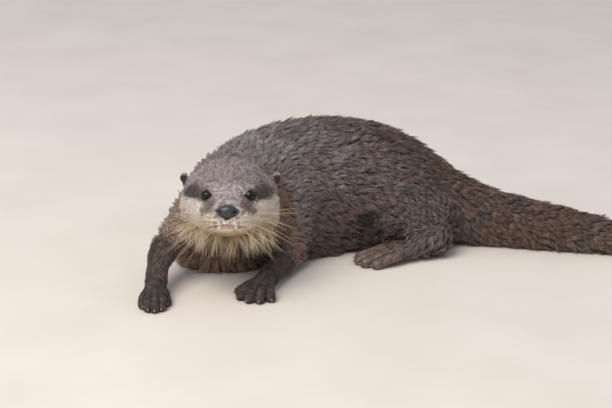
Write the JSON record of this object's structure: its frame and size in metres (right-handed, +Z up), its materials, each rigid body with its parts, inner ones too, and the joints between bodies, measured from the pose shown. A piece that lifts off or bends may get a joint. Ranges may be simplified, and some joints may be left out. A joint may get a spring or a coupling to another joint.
{
  "type": "small-clawed otter",
  "caption": "Life-size small-clawed otter at rest on its belly, forelegs out in front, head up and level, body bent round and tail laid out along the floor.",
  "frame": {"origin": "on the floor, in the middle of the otter's footprint rectangle", "axes": "+Z up; the otter faces -Y and its tail runs out to +X"},
  "size_m": [0.5646, 0.3216, 0.124],
  "materials": {
    "brown_coat": "dense dark brown fur with lighter tips",
    "face_coat": "short fur, grey-brown above and cream on the cheeks and throat",
    "bare_paw": "dark skin under very short hair",
    "nose_leather": "bare, finely grained, slightly damp",
    "wet_eye": "dark and wet"
  },
  "bodies": {
    "root": {"head": "face_coat", "neck": "brown_coat", "chest": "brown_coat", "loins": "brown_coat", "tail_root": "brown_coat", "tail_middle": "brown_coat", "tail_tip": "brown_coat", "ear_left": "brown_coat", "ear_right": "brown_coat", "foreleg_left": "brown_coat", "foreleg_right": "brown_coat", "hindleg_left": "brown_coat", "hindleg_right": "brown_coat", "forepaw_left": "bare_paw", "forepaw_right": "bare_paw", "hindfoot_left": "bare_paw", "hindfoot_right": "bare_paw", "nose": "nose_leather", "eye_left": "wet_eye", "eye_right": "wet_eye"}
  },
  "joints": []
}
